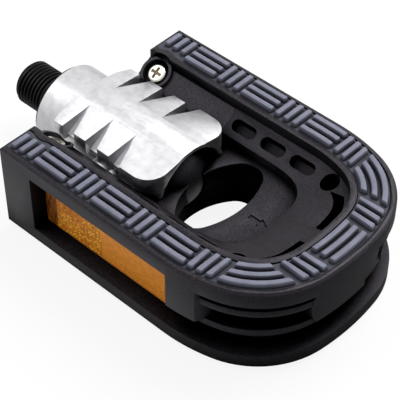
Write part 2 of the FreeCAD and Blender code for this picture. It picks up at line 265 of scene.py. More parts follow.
def carriedVector(tree, label):
    made = addNode(tree, "GeometryNodeInputNamedAttribute", data_type="FLOAT_VECTOR")
    made.inputs["Name"].default_value = label
    return made.outputs[0]


def heldBy(tree, socket):  # geometry of the object that an input names
    return addNode(tree, "GeometryNodeObjectInfo", {"Object": socket}).outputs["Geometry"]


def setPlace(tree, geometry, place):
    inputs = {"Geometry": geometry, "Position": place}
    return addNode(tree, "GeometryNodeSetPosition", inputs).outputs[0]


def sweep(tree, line, section):  # a closed section carried along a line
    line = addNode(tree, "GeometryNodeSetCurveNormal", {0: line}, mode="Z_UP").outputs[0]
    inputs = {0: line, 1: section, "Fill Caps": True}
    return addNode(tree, "GeometryNodeCurveToMesh", inputs).outputs[0]


def finished(tree, geometry, material, result):  # realized, given its material, sent out
    real = addNode(tree, "GeometryNodeRealizeInstances", {0: geometry}).outputs[0]
    inputs = {"Geometry": real, "Material": material}
    done = addNode(tree, "GeometryNodeSetMaterial", inputs).outputs[0]
    tree.links.new(done, result[0])


# small helpers for materials

def newMaterial(name, sockets):
    material = bpy.data.materials.new(name)
    material.use_nodes = True
    tree = material.node_tree
    shader = tree.nodes["Principled BSDF"]
    for label, value in sockets.items():
        shader.inputs[label].default_value = value
    return material, tree, shader


def feed(tree, shader, sources):  # links sources to the sockets of a shader
    for label, source in sources.items():
        tree.links.new(source, shader.inputs[label])


def fedBy(shader, label):  # what a socket of a shader is linked to
    return shader.inputs[label].links[0].from_socket


def objectPlace(tree):
    return addNode(tree, "ShaderNodeTexCoord").outputs["Object"]


def ramp(tree, source, places, colours):  # from one colour to another
    made = addNode(tree, "ShaderNodeValToRGB", {0: source})
    for element, place, colour in zip(made.color_ramp.elements, places, colours):
        element.position = place
        element.color = (*colour, 1)
    return made.outputs["Color"]


def noise(tree, scale, detail, rough=0.55, stretch=(1, 1, 1)):
    place = addNode(tree, "ShaderNodeMapping", {0: objectPlace(tree), "Scale": stretch})
    inputs = {"Vector": place.outputs[0], "Scale": scale, "Detail": detail}
    inputs["Roughness"] = rough
    return addNode(tree, "ShaderNodeTexNoise", inputs).outputs[0]


def bump(tree, height, distance, strength):
    inputs = {"Height": height, "Distance": distance, "Strength": strength}
    return addNode(tree, "ShaderNodeBump", inputs).outputs[0]


noiseSpan = (0.3, 0.7)


def noiseLevel(tree, value, low, high):  # a noise value spread between two levels
    return mapRange(tree, value, noiseSpan, (low, high))


# finishes, one function for each family

plasticLook = {
    "dark": (0.0050, 0.0044, 0.0056),
    "pale": (0.0080, 0.0071, 0.0088),
    "patch": 160.0,
    "patchDetail": 5.0,
    "patchStops": (0.35, 0.65),
    "grain": 1800.0,
    "grainDetail": 2.0,
    "grainDepth": 0.03 * mm,
    "grainStrength": 0.75,
    "roughLow": 0.36,
    "roughHigh": 0.52,
    "tint": (0.92, 0.85, 1.0),
    "specular": 0.34,
    "speckle": 0.42,
    # reach, rays and limits of the painted recess shade
    "recess": 15.0 * mm,
    "recessRays": 8,
    "shut": 0.48,
    "open": 0.95,
}


def paintedRecessShade(tree, look, level):  # painted shade: falls from the level to nothing in deep recesses, read from an occlusion node
    inputs = {"Distance": look["recess"]}
    seen = addNode(tree, "ShaderNodeAmbientOcclusion", inputs, samples=look["recessRays"])
    return mapRange(tree, seen.outputs["AO"], (look["shut"], look["open"]), (0.0, level))


def mouldedPlastic(name, look):
    material, tree, shader = newMaterial(name, {"Specular Tint": (*look["tint"], 1)})
    patch = noise(tree, look["patch"], look["patchDetail"])
    grain = noise(tree, look["grain"], look["grainDetail"])
    colour = ramp(tree, patch, look["patchStops"], (look["dark"], look["pale"]))
    speckle = noiseLevel(tree, grain, 1 - look["speckle"], 1 + look["speckle"])
    # painted shade: base colour and shine are dimmed in deep recesses
    shine = paintedRecessShade(tree, look, look["specular"])
    feed(tree, shader, {
        "Base Color": scaled(tree, colour, paintedRecessShade(tree, look, 1.0)),
        "Specular IOR Level": mathNode(tree, "MULTIPLY", shine, speckle),
        "Roughness": noiseLevel(tree, grain, look["roughLow"], look["roughHigh"]),
        "Normal": bump(tree, grain, look["grainDepth"], look["grainStrength"]),
    })
    return material


wellLook = {
    "reachX": 77.0 * mm,
    "reachY": 16.8 * mm,
    "low": 2.7 * mm,
    "high": 3.45 * mm,
    "steep": 0.6,
    "shade": 0.02,
}


def paintedWellShade(material, look):  # painted shade: darker walls inside the opening in the cage floor
    tree = material.node_tree
    shader = tree.nodes["Principled BSDF"]
    spot = addNode(tree, "ShaderNodeTexCoord").outputs
    x, y, z = split(tree, spot["Object"])
    rise = split(tree, spot["Normal"])[2]
    level = mapRange(tree, z, (look["low"], look["high"]), (look["shade"], 1.0))
    limits = ((x, look["reachX"]), (y, look["reachY"]), (rise, look["steep"]))
    for part, reach in limits:
        past = mathNode(tree, "GREATER_THAN", mathNode(tree, "ABSOLUTE", part), reach)
        level = mathNode(tree, "MAXIMUM", level, past)
    shine = fedBy(shader, "Specular IOR Level")
    feed(tree, shader, {
        "Base Color": scaled(tree, fedBy(shader, "Base Color"), level),
        "Specular IOR Level": mathNode(tree, "MULTIPLY", shine, level),
    })
    return material


# middle and half width of the ledge's slots in x, y and the rise of the normal
slotLook = {
    "x": (66.7 * mm, 17.0 * mm),
    "y": (20.4 * mm, 4.0 * mm),
    "rise": (0.834, 0.08),
    "shine": 0.15,
}


def paintedSlotSheen(material, look):  # painted sheen: the floors of the slots keep a least shine, set by place, through the painted recess shade
    tree = material.node_tree
    shader = tree.nodes["Principled BSDF"]
    spot = addNode(tree, "ShaderNodeTexCoord").outputs
    place = split(tree, spot["Object"])
    rise = split(tree, spot["Normal"])[2]
    aside = mathNode(tree, "ABSOLUTE", place[1])
    least = look["shine"]
    for part, label in ((place[0], "x"), (aside, "y"), (rise, "rise")):
        inside = mathNode(tree, "COMPARE", part, *look[label])
        least = mathNode(tree, "MULTIPLY", inside, least)
    shine = mathNode(tree, "MAXIMUM", fedBy(shader, "Specular IOR Level"), least)
    feed(tree, shader, {"Specular IOR Level": shine})
    return material


# painted shade on the walls of the floor's opening, painted sheen on the slot floors
blackPlastic = paintedWellShade(mouldedPlastic("blackPlastic", plasticLook), wellLook)
blackPlastic = paintedSlotSheen(blackPlastic, slotLook)
armLook = dict(plasticLook, recess=6.0 * mm, shut=0.20, open=0.75, specular=0.46)
armPlastic = mouldedPlastic("armPlastic", armLook)
capLook = dict(plasticLook, roughLow=0.38, roughHigh=0.48, grainStrength=0.25, shut=0.40)
capPlastic = mouldedPlastic("capPlastic", capLook)
sealLook = dict(plasticLook, roughLow=0.6, roughHigh=0.75, specular=0.2)
sealRubber = mouldedPlastic("sealRubber", sealLook)
backLook = dict(plasticLook, dark=(0.10, 0.028, 0.003), pale=(0.16, 0.05, 0.006))
reflectorBack = mouldedPlastic("reflectorBack", backLook)

rubberLook = dict(
    plasticLook,
    dark=(0.144, 0.150, 0.199),
    pale=(0.188, 0.195, 0.258),
    patch=220.0,
    grain=2600.0,
    grainDepth=0.02 * mm,
    grainStrength=0.5,
    roughLow=0.55,
    roughHigh=0.70,
    tint=(0.95, 0.95, 1.0),
    specular=0.42,
    speckle=0.20,
    recess=2.0 * mm,
    shut=0.10,
    open=0.90,
)
grooveLook = {"low": 14.5 * mm, "high": 15.75 * mm, "shade": 0.27}


def paintedGrooveShade(material, look):  # painted shade: darker towards the foot of the bars
    tree = material.node_tree
    shader = tree.nodes["Principled BSDF"]
    height = mathNode(tree, "ABSOLUTE", split(tree, objectPlace(tree))[2])
    level = mapRange(tree, height, (look["low"], look["high"]), (look["shade"], 1.0))
    feed(tree, shader, {"Base Color": scaled(tree, fedBy(shader, "Base Color"), level)})
    return material


treadRubber = paintedGrooveShade(mouldedPlastic("treadRubber", rubberLook), grooveLook)
print("plastics and rubbers ready")

aluminiumLook = {
    "dark": (0.57, 0.57, 0.59),
    "pale": (0.74, 0.74, 0.76),
    "patch": 140.0,
    "patchDetail": 6.0,
    "patchStops": (0.3, 0.6),
    "grain": 900.0,
    "grainDetail": 3.0,
    "grainDepth": 0.03 * mm,
    "grainStrength": 0.30,
    "noiseRough": 0.6,
    "stretch": (1.0, 1.0, 1.0),
    "roughLow": 0.28,
    "roughHigh": 0.42,
}


def metalFinish(name, **changes):  # the aluminium's settings with changes
    look = dict(aluminiumLook, **changes)
    material, tree, shader = newMaterial(name, {"Metallic": 1.0})
    patch = noise(tree, look["patch"], look["patchDetail"], look["noiseRough"])
    grain = noise(
        tree, look["grain"], look["grainDetail"], look["noiseRough"], look["stretch"]
    )
    feed(tree, shader, {
        "Base Color": ramp(tree, patch, look["patchStops"], (look["dark"], look["pale"])),
        "Roughness": noiseLevel(tree, grain, look["roughLow"], look["roughHigh"]),
        "Normal": bump(tree, grain, look["grainDepth"], look["grainStrength"]),
    })
    return material


castAluminium = metalFinish(
    "castAluminium", dark=(0.56, 0.56, 0.58), pale=(0.68, 0.68, 0.70), patch=420.0,
    grain=1500.0, grainStrength=0.60, stretch=(0.18, 1.0, 1.0),
)
zincSteel = metalFinish(
    "zincSteel", dark=(0.72, 0.70, 0.62), pale=(0.88, 0.86, 0.78), roughLow=0.16,
    roughHigh=0.28, grainStrength=0.15,
)
# painted shade: dark metal for the plugs in the screws' cross recesses
paintedCrossShade = metalFinish(
    "paintedCrossShade", dark=(0.050, 0.040, 0.024), pale=(0.130, 0.105, 0.065), patch=700.0,
)
blackSteel = metalFinish(
    "blackSteel", dark=(0.016, 0.0155, 0.016), pale=(0.030, 0.029, 0.030), roughLow=0.34,
    roughHigh=0.50,
)
plainSteel = metalFinish("plainSteel", dark=(0.42, 0.42, 0.43), pale=(0.56, 0.56, 0.57))
bushBronze = metalFinish("bushBronze", dark=(0.45, 0.27, 0.11), pale=(0.62, 0.40, 0.18))
print("metals ready")

# amber lens: streaked strip at its inboard end, then a mosaic of prisms with painted glints
# in a band that rises outboard, and a calmer outboard half with faint painted glint dots
lensLook = {
    "strip": ((0.110, 0.026, 0.003), (0.420, 0.140, 0.012)),
    "stripStops": (0.42, 0.62),
    "stripNoise": (900.0, 3.0, 0.6, (3.0, 1.0, 0.25)),
    "stripX": 30.4 * mm,
    "mosaic": ((0.520, 0.164, 0.012), (0.740, 0.250, 0.019)),
    "mosaicStops": (0.1, 0.9),
    "plain": ((0.700, 0.234, 0.030), (0.880, 0.306, 0.042)),
    "plainStops": (0.35, 0.65),
    "plainNoise": (700.0, 4.0, 0.6),
    "plainX": 48.6 * mm,
    "paintedGlint": (0.980, 0.520, 0.050, 1),
    "cell": 1.15 * mm,
    "border": 0.30,
    "band": (-4.0 * mm, 3.0 * mm),
    "share": 0.50,
    "stray": 0.03,
    # strength of the faint painted glint dots on the calm half
    "lattice": 0.22,
    "roughness": 0.32,
    "specular": 0.12,
    "coat": 0.12,
    "coatRoughness": 0.06,
    "fineNoise": (2400.0, 2.0),
    "fineDepth": 0.02 * mm,
    "fineStrength": 0.3,
}


def blendColour(tree, factor, a, b):
    inputs = {0: factor, 6: a, 7: b}
    return addNode(tree, "ShaderNodeMix", inputs, data_type="RGBA").outputs[2]


def amberFinish(look):
    material, tree, shader = newMaterial("amberLens", {
        "Roughness": look["roughness"],
        "Specular IOR Level": look["specular"],
        "Coat Weight": look["coat"],
        "Coat Roughness": look["coatRoughness"],
    })
    place = split(tree, objectPlace(tree))
    x, z = place[0], place[2]
    slanted = {0: mathNode(tree, "ADD", x, z), 1: mathNode(tree, "SUBTRACT", x, z)}
    spot = addNode(tree, "ShaderNodeCombineXYZ", slanted).outputs[0]
    cells = vectorMath(tree, "SNAP", spot, (look["cell"],) * 3)
    inner = scaled(tree, vectorMath(tree, "SUBTRACT", spot, cells), 1 / look["cell"])
    inner = split(tree, inner)
    inner = mathNode(tree, "MINIMUM", inner[0], inner[1])
    inner = mathNode(tree, "GREATER_THAN", inner, look["border"])
    chance = addNode(tree, "ShaderNodeTexWhiteNoise", {0: cells}).outputs
    tone = addNode(tree, "ShaderNodeSeparateColor", {0: chance["Color"]}).outputs[1]
    mosaic = ramp(tree, tone, look["mosaicStops"], look["mosaic"])
    plain = ramp(tree, noise(tree, *look["plainNoise"]), look["plainStops"], look["plain"])
    strip = ramp(tree, noise(tree, *look["stripNoise"]), look["stripStops"], look["strip"])
    inStrip = mathNode(tree, "LESS_THAN", x, look["stripX"])
    inPlain = mathNode(tree, "GREATER_THAN", x, look["plainX"])
    # painted highlights: glint-coloured cells in a band that rises outboard, faint dots
    # elsewhere
    band = mapRange(tree, x, (look["stripX"], look["plainX"]), look["band"])
    below = mathNode(tree, "LESS_THAN", z, band)
    needed = mapRange(tree, below, unit, (1 - look["stray"], 1 - look["share"]))
    glintMask = mathNode(tree, "GREATER_THAN", chance["Value"], needed)
    glintMask = mathNode(tree, "MULTIPLY", glintMask, inner)
    glintDots = mathNode(tree, "MULTIPLY", inner, look["lattice"])
    plain = blendColour(tree, glintDots, plain, look["paintedGlint"])
    colour = blendColour(tree, glintMask, mosaic, look["paintedGlint"])
    colour = blendColour(tree, inPlain, colour, plain)
    colour = blendColour(tree, inStrip, colour, strip)
    fine = noise(tree, *look["fineNoise"])
    feed(tree, shader, {
        "Base Color": colour,
        "Normal": bump(tree, fine, look["fineDepth"], look["fineStrength"]),
    })
    return material


amberLens = amberFinish(lensLook)
print("amber lens ready")


# copies of the solids with merged corners and softly broken edges

edgeLook = {
    "weld": 0.002 * mm,
    "flat": 0.4,
    "edge": 0.22 * mm,
    "steps": 2,
    "corner": 32,
    "smooth": 28,
}


def dressed(node, name, material, look):
    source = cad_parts[node].data
    mesh = makeMesh(
        name, [v.co for v in source.vertices], [f.vertices for f in source.polygons]
    )
    work = bmesh.new()
    work.from_mesh(mesh)
    bmesh.ops.remove_doubles(work, verts=work.verts, dist=look["weld"])
    bmesh.ops.dissolve_limit(
        work,
        angle_limit=math.radians(look["flat"]),
        verts=work.verts,
        edges=work.edges,
        delimit=set(),
    )
    work.to_mesh(mesh)
    work.free()
    obj = makeObject(name, mesh)
    edges = obj.modifiers.new("edges", "BEVEL")
    edges.width = look["edge"]
    edges.segments = look["steps"]
    edges.limit_method = "ANGLE"
    edges.angle_limit = math.radians(look["corner"])
    edges.use_clamp_overlap = True
    edges.harden_normals = False
    settle(obj)
    shade(obj.data, look["smooth"])
    setMaterial(obj, material)
    return obj


# rail outline moved inwards: straight side, side arc, corner arc, end arc

railLook = {
    "sideRadius": 0.762,
    "cornerRadius": 0.381,
    "turns": (16.5, 81.5),
    "step": 0.8 * mm,
}
cageLow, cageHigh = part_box("cage_frame")
cageWidth = cageHigh.y - cageLow.y


def railLine(inset, startX):
    first, second = [math.radians(turn) for turn in railLook["turns"]]
    side = railLook["sideRadius"] * cageWidth - inset
    corner = railLook["cornerRadius"] * cageWidth - inset
    half = cageHigh.y - inset
    drop = side * (1 - math.cos(first)) + corner * (math.cos(first) - math.cos(second))
    end = (half - drop) / math.cos(second)
    run = side * math.sin(first) + corner * (math.sin(second) - math.sin(first))
    x = cageHigh.x - inset - run - end * (1 - math.sin(second))
    y = half
    points = [(startX, y), (x, y)]
    before = 0.0
    for radius, after in ((side, first), (corner, second), (end, math.pi / 2)):
        steps = math.ceil(radius * (after - before) / railLook["step"])
        for k in range(1, steps + 1):
            turn = before + (after - before) * k / steps
            reach = radius * (math.sin(turn) - math.sin(before))
            fall = radius * (math.cos(before) - math.cos(turn))
            points.append((x + reach, y - fall))
        x, y = points[-1]
        before = after
    points += [(x, -y) for x, y in reversed(points[:-1])]
    return [Vector((x, y, 0)) for x, y in points]


markLook = {
    "tail": 76.4 * mm,
    "neck": 80.0 * mm,
    "tip": 83.0 * mm,
    "middle": -0.5 * mm,
    "stem": 0.8 * mm,
    "head": 1.75 * mm,
    "floor": 3.5 * mm,
    "depth": 0.35 * mm,
    "clear": 2.0 * mm,
}


def arrowCutter(look):  # a plain arrow that points outboard
    sides = [(look["tail"], look["stem"]), (look["neck"], look["stem"])]
    sides += [(look["neck"], look["head"]), (look["tip"], 0.0)]
    outline = [(x, look["middle"] - y) for x, y in sides]
    outline += [(x, look["middle"] + y) for x, y in reversed(sides[:-1])]
    low, high = look["floor"] - look["depth"], look["floor"] + look["clear"]
    return slab("arrowCutter", outline, low, high)


# ends of the pad, its slot and the wall beyond, from front to rear, and their depths
padLook = {
    "ends": (-16.0 * mm, 5.5 * mm, 6.4 * mm, 17.0 * mm),
    "depths": (0.8 * mm, 3.2 * mm, 2.4 * mm),
    "low": -7.3 * mm,
    "high": 9.42 * mm,
    "clear": 1.0 * mm,
}


def padCutter(look):  # sinks the push pad under the rim, with a slot at its far edge
    ends = look["ends"]
    outer = railLine(-look["clear"], 0.0)
    outline = [(p.x, p.y) for p in outer if abs(p.y) < ends[-1]]
    for low, high, depth in zip(ends, ends[1:], look["depths"]):
        line = reversed(railLine(depth, 0.0))
        inside = [(p.x, p.y) for p in line if low < p.y < high]
        outline += [(inside[0][0], low), *inside, (inside[-1][0], high)]
    return slab("padCutter", outline, look["low"], look["high"])


cage = dressed("cage_frame", "cageShell", blackPlastic, edgeLook)
carve(cage, padCutter(padLook))
carve(cage, arrowCutter(markLook))
shade(cage.data, edgeLook["smooth"])
hand(cage, "cage", "black_plastic", "cage_frame")
for side in ("front", "rear"):
    arm = dressed(side + "_arm", side + "ArmCover", armPlastic, edgeLook)
    hand(arm, "cage", "black_plastic", side + "_arm")
hubLook = dict(edgeLook, edge=0.34 * mm, steps=3)
hub = dressed("hub", "hubCasting", castAluminium, hubLook)
hand(hub, "hub", "cast_aluminium", "hub")
print("cage, arms and hub dressed", len(cage.data.polygons), len(hub.data.polygons))


# treads: a swept base with bars that follow the rail line. A row is its two ends in
# millimetres, the way its bars run, and two slopes: the slopes of both ends for bars
# along the line, the middle slope and its change for bars across it

treadLook = {
    "inset": 6.3 * mm,
    "half": 4.5 * mm,
    "start": 14.95 * mm,
    "low": 12.9 * mm,
    "base": 14.45 * mm,
    "top": 15.94 * mm,
    "soft": 0.2 * mm,
    "smooth": 40,
    "barHalf": 3.7 * mm,
    "barWidth": 1.55 * mm,
    "barCorner": 0.26 * mm,
    "barTurns": (0, 30, 60, 90),
    "barParts": 9,
    "barReach": 0.9,
    "footDrop": 0.25 * mm,
    "footSpread": 0.34 * mm,
    "barRings": (
        (0.42 * mm, 0.06 * mm),
        (0.15 * mm, -0.04 * mm),
        (0.04 * mm, -0.10 * mm),
        (0.0, -0.20 * mm),
    ),
    "endCut": 1.5 * mm,
    "cutFrom": 100.0 * mm,
    "biteRadius": 7.6 * mm,
    "biteLow": -2.0 * mm,
    "biteHigh": 30.0 * mm,
    "biteSteps": 96,
    "rows": [
        (-6.95, 6.95, "along", 0.13, -0.13),
        (9.4, 17.2, "across", -0.29, 0.125),
        (19.95, 33.55, "along", -0.60, 0.39),
        (35.6, 43.2, "across", 0.21, 0.09),
        (44.7, 56.1, "along", 0.0, 0.0),
        (57.6, 65.4, "across", 0.0, 0.0),
        (66.9, 78.6, "along", 0.0, 0.0),
        (80.1, 87.9, "across", 0.0, 0.0),
        (89.4, 101.2, "along", 0.0, 0.0),
        (102.7, 110.6, "across", 0.0, 0.0),
    ],
}
# the ends of the treads are cut for the screws, so the screws' settings come here
screwLook = {
    "x": 20.0 * mm,
    "y": 20.486 * mm,
    "z": 10.206 * mm,
    "tilt": math.atan(4.5 / 6.8),
    "headRadius": 3.08 * mm,
    "headLow": -1.6 * mm,
    "headTop": 0.28 * mm,
    "headSides": 48,
    "roundLow": 1.05 * mm,
    "roundRise": 0.8 * mm,
    "roundIn": 0.95 * mm,
    "roundSteps": 8,
    "crownLow": 0.08 * mm,
    "crownShare": 0.40,
    "smooth": 30,
    "crossArm": 1.9 * mm,
    "crossHalf": 0.48 * mm,
    "crossDepth": 1.0 * mm,
    "crossClear": 1.0 * mm,
    "plugTop": -0.22 * mm,
    "plugGap": 0.01 * mm,
}


def barSeed(look):  # one bar of unit size; corners and flanks are kept as offsets
    corner, parts = look["barCorner"], look["barParts"]
    rings = [(look["base"] - look["footDrop"], look["footSpread"])]
    rings += [(look["top"] - drop, spread) for drop, spread in look["barRings"]]
    reach = look["barReach"]
    steps = [reach - 2 * reach * k / (parts - 1) for k in range(parts)]
    coords, offsets, faces = [], [], []
    for z, spread in rings:
        radius = corner + spread
        for sx, sy, first in ((1, 1, 0), (-1, 1, 90), (-1, -1, 180), (1, -1, 270)):
            for turn in look["barTurns"]:
                angle = math.radians(first + turn)
                coords.append((sx, sy, 0))
                x = radius * math.cos(angle) - sx * corner
                offsets.append((x, radius * math.sin(angle) - sy * corner, z))
            if sx == sy:
                for step in steps:
                    coords.append((step * sx, sy, 0))
                    offsets.append((-step * sx * corner, sy * spread, z))
    count = len(coords) // len(rings)
    for ring in range(len(rings) - 1):
        faces += ringFaces(ring * count, (ring + 1) * count, count)
    roof = list(range(len(coords) - count, len(coords)))
    bend = len(look["barTurns"])
    farEnd, nearStart = bend + parts, 3 * bend + parts
    far = roof[bend:farEnd]
    near = roof[nearStart:nearStart + parts][::-1]
    for k in range(parts - 1):
        faces.append((far[k], far[k + 1], near[k + 1], near[k]))
    faces.append((*roof[-bend:], *roof[:bend], far[0], near[0]))
    faces.append((*roof[farEnd:nearStart], near[-1], far[-1]))
    points = [Vector(c) + Vector(o) for c, o in zip(coords, offsets)]
    mesh = makeMesh("barSeed", points, faces)
    carryVectors(mesh, {"barCoord": coords, "barOffset": offsets})
    return makeObject("barSeed", mesh)


def barPlaces(look, reach):  # middle, half size and slopes of every bar
    places, sizes, leans = [], [], []
    width, half = look["barWidth"], look["barHalf"]
    for low, high, way, first, second in look["rows"]:
        low, high = low * mm, high * mm
        for sign in (1, -1):
            if low < 0 and sign < 0:
                continue
            for k in (-1, 0, 1):
                if way == "across":
                    spot = low + width / 2 + (k + 1) * (high - low - width) / 2
                    cut = look["endCut"] if low > look["cutFrom"] else 0.0
                    places.append((reach + sign * spot, cut / 2, 0))
                    sizes.append((width / 2, half - cut / 2, 0))
                    leans.append((sign * (first - k * second), 0, 0))
                else:
                    spot = (low + high) / 2
                    aside = k * (half - width / 2)
                    places.append((reach + sign * spot, aside, 0))
                    sizes.append(((high - low) / 2, width / 2, 0))
                    leans.append((sign * (first + second) / 2, (second - first) / 2, 0))
    return {"barPlace": places, "barSize": sizes, "barLean": leans}


def barCourse():  # bars bent along a line, each at its own place and size
    tree, given, result = newTree(
        "barCourse", Seed="Object", Line="Object", Rubber="Material"
    )
    inputs = {"Points": given["Geometry"], "Instance": heldBy(tree, given["Seed"])}
    bars = addNode(tree, "GeometryNodeInstanceOnPoints", inputs).outputs[0]
    bars = addNode(tree, "GeometryNodeRealizeInstances", {0: bars}).outputs[0]
    corner = carriedVector(tree, "barCoord")
    spot = vectorMath(tree, "MULTIPLY", corner, carriedVector(tree, "barSize"))
    spot = vectorMath(tree, "ADD", spot, carriedVector(tree, "barOffset"))
    spot = vectorMath(tree, "ADD", spot, carriedVector(tree, "barPlace"))
    along, aside, height = split(tree, spot)
    lean = split(tree, carriedVector(tree, "barLean"))
    change = mathNode(tree, "MULTIPLY", lean[1], split(tree, corner)[0])
    slope = mathNode(tree, "ADD", lean[0], change)
    along = mathNode(tree, "ADD", along, mathNode(tree, "MULTIPLY", aside, slope))
    inputs = {"Curves": heldBy(tree, given["Line"]), "Length": along}
    onLine = addNode(tree, "GeometryNodeSampleCurve", inputs, mode="LENGTH").outputs
    outward = vectorMath(tree, "CROSS_PRODUCT", upward, onLine["Tangent"])
    place = vectorMath(tree, "ADD", onLine["Position"], scaled(tree, outward, aside))
    place = vectorMath(tree, "ADD", place, scaled(tree, upward, height))
    finished(tree, setPlace(tree, bars, place), given["Rubber"], result)
    return tree


def sweptBase():
    tree, given, result = newTree(
        "sweptBase", Line="Object", Section="Object", Rubber="Material"
    )
    body = sweep(tree, heldBy(tree, given["Line"]), heldBy(tree, given["Section"]))
    finished(tree, body, given["Rubber"], result)
    return tree


def biteCutter(look, screw, side):  # room for the screwdriver beside the tread's end
    radius, low, high = look["biteRadius"], look["biteLow"], look["biteHigh"]
    profile = [(low, 0), (low, radius), (high, radius), (high, 0)]
    cutter = lathe("biteCutter", profile, look["biteSteps"])
    turnMesh(cutter, -rightAngle, "Y")
    turnMesh(cutter, side * screw["tilt"], "X")
    moveMesh(cutter, (screw["x"], side * screw["y"], screw["z"]))
    return cutter


def buildTread(look):
    points = railLine(look["inset"], look["start"])
    line = makeCurve("treadLine", points)
    half, soft = look["half"], look["soft"]
    low, high = look["low"], look["base"]
    section = makeCurve("treadSection", [
        (-half, low, 0), (half, low, 0), (half, high - soft, 0), (half - soft, high, 0),
        (soft - half, high, 0), (-half, high - soft, 0),
    ], True)
    base = seedPoint("treadBase")
    grow(base, sweptBase(), Line=line, Section=section, Rubber=treadRubber)
    tidyNormals(base.data)
    for side in (1, -1):
        carve(base, biteCutter(look, screwLook, side))
    whole = sum((b - a).length for a, b in zip(points, points[1:]))
    layout = barPlaces(look, whole / 2)
    bars = pointCloud("treadBars", [(0, 0, 0)] * len(layout["barPlace"]), **layout)
    seed = barSeed(look)
    grow(bars, barCourse(), Seed=seed, Line=line, Rubber=treadRubber)
    tidyNormals(bars.data)
    for helper in (line, section, seed):
        bpy.data.objects.remove(helper)
    tread = joinInto("topTread", [base, bars])
    shade(tread.data, look["smooth"])
    setMaterial(tread, treadRubber)
    return tread


topTread = buildTread(treadLook)
bottomTread = makeObject("bottomTread", topTread.data.copy())
bottomTread.data.transform(Matrix.Scale(-1, 4, upward))
bottomTread.data.flip_normals()
hand(topTread, "cage", "tread_rubber", "top_tread")
hand(bottomTread, "cage", "tread_rubber", "bottom_tread")
print("treads ready", len(topTread.data.polygons))


# cross-head screws on both arms: heads, and dark plugs of painted shade in their cross
# recesses

def crossOutline(arm, half):
    quarter = [(arm, -half), (arm, half), (half, half)]
    outline = []
    for turn in range(4):
        outline += quarter
        quarter = [(-y, x) for x, y in quarter]
    return outline


def screwSeed(look):
    low, top, radius = look["headLow"], look["headTop"], look["headRadius"]
    start = top - look["roundLow"]
    profile = [(low, 0), (low, radius), (start, radius)]
    for k in range(1, look["roundSteps"] + 1):
        turn = rightAngle * k / look["roundSteps"]
        reach = radius - look["roundIn"] * (1 - math.cos(turn))
        profile.append((start + look["roundRise"] * math.sin(turn), reach))
    profile += [(top - look["crownLow"], radius * look["crownShare"]), (top, 0)]
    head = lathe("screwHead", profile, look["headSides"])
    turnMesh(head, -rightAngle, "Y")
    outline = crossOutline(look["crossArm"], look["crossHalf"])
    low, high = top - look["crossDepth"], top + look["crossClear"]
    carve(head, slab("crossCutter", outline, low, high))
    shade(head.data, look["smooth"])
    return head


def shadePlugSeed(look):  # a dark piece of painted shade in the lower part of the cross recess
    gap = look["plugGap"]
    outline = crossOutline(look["crossArm"] - gap, look["crossHalf"] - gap)
    bottom = look["headTop"] - look["crossDepth"] + gap
    return slab("crossPlug", outline, bottom, look["plugTop"])


def screwSpots(look):  # place and tilt of the two screws, rear one first
    places = [(look["x"], side * look["y"], look["z"]) for side in (1, -1)]
    turns = [(side * look["tilt"], 0, 0) for side in (1, -1)]
    return places, turns


def onSpots():  # one seed turned to the tilt of every point
    tree, given, result = newTree("onSpots", Seed="Object", Metal="Material")
    tilt = {0: carriedVector(tree, "spotTurn")}
    inputs = {
        "Points": given["Geometry"],
        "Instance": heldBy(tree, given["Seed"]),
        "Rotation": addNode(tree, "FunctionNodeEulerToRotation", tilt).outputs[0],
    }
    seeds = addNode(tree, "GeometryNodeInstanceOnPoints", inputs).outputs[0]
    finished(tree, seeds, given["Metal"], result)
    return tree


spotTree = onSpots()
screwPlaces, screwTurns = screwSpots(screwLook)
screwPieces = (
    ("screwHeads", screwSeed(screwLook), zincSteel, ("arm_screws",)),
    # the dark plugs are painted shade in the cross recesses
    ("screwRecesses", shadePlugSeed(screwLook), paintedCrossShade, ()),
)
for pieceName, seed, finish, taken in screwPieces:
    screws = pointCloud(pieceName, screwPlaces, spotTurn=screwTurns)
    grow(screws, spotTree, Seed=seed, Metal=finish)
    bpy.data.objects.remove(seed)
    hand(screws, "cage", "zinc_steel", *taken)
print("screws ready")


# spindle: turned core with a hex socket, and a thread wound round its end. A step is
# a radius and the place where it ends, in millimetres

spindleLook = {
    "crest": 7.13 * mm,
    "root": 6.40 * mm,
    "end": -14.5 * mm,
    "endChamfer": 0.4 * mm,
    "lead": 1.0 * mm,
    "pitch": 1.27 * mm,
    "runOut": 1.2 * mm,
    "crestWidth": 0.24 * mm,
    "rootWidth": 1.16 * mm,
    "ridgeSunk": 0.15 * mm,
    "turnSteps": 48,
    "grooveStart": -1.4 * mm,
    "grooveFloor": -0.8 * mm,
    "grooveDepth": 0.3 * mm,
    "flangeRadius": 8.5 * mm,
    "flange": 1.2 * mm,
    "flangeChamfer": 0.25 * mm,
    "steps": ((5.5, 26.9), (4.5, 35.6), (4.0, 40.9)),
    "socket": 6.0 * mm,
    "socketDepth": 7.0 * mm,
    "socketClear": 2.0 * mm,
    "sides": 72,
    "smooth": 35,
}


def spindleCore(look):
    root, end, chamfer = look["root"], look["end"], look["endChamfer"]
    waist = root - look["grooveDepth"]
    profile = [(end, 0), (end, root - chamfer), (end + chamfer, root)]
    profile += [(look["grooveStart"], root), (look["grooveFloor"], waist), (0, waist)]
    brim, width, chamfer = look["flangeRadius"], look["flange"], look["flangeChamfer"]
    profile += [(0, brim - chamfer), (chamfer, brim)]
    profile += [(width - chamfer, brim), (width, brim - chamfer)]
    x = width
    for radius, reach in look["steps"]:
        profile += [(x, radius * mm), (reach * mm, radius * mm)]
        x = reach * mm
    profile.append((x, 0))
    core = lathe("spindleCore", profile, look["sides"])
    ring = look["socket"] / math.sqrt(3)
    corners = [k * math.pi / 3 for k in range(6)]
    outline = [(ring * math.cos(a), ring * math.sin(a)) for a in corners]
    socket = slab("socketCutter", outline, -look["socketDepth"], look["socketClear"])
    turnMesh(socket, -rightAngle, "Y")
    moveMesh(socket, (end, 0, 0))
    return carve(core, socket)


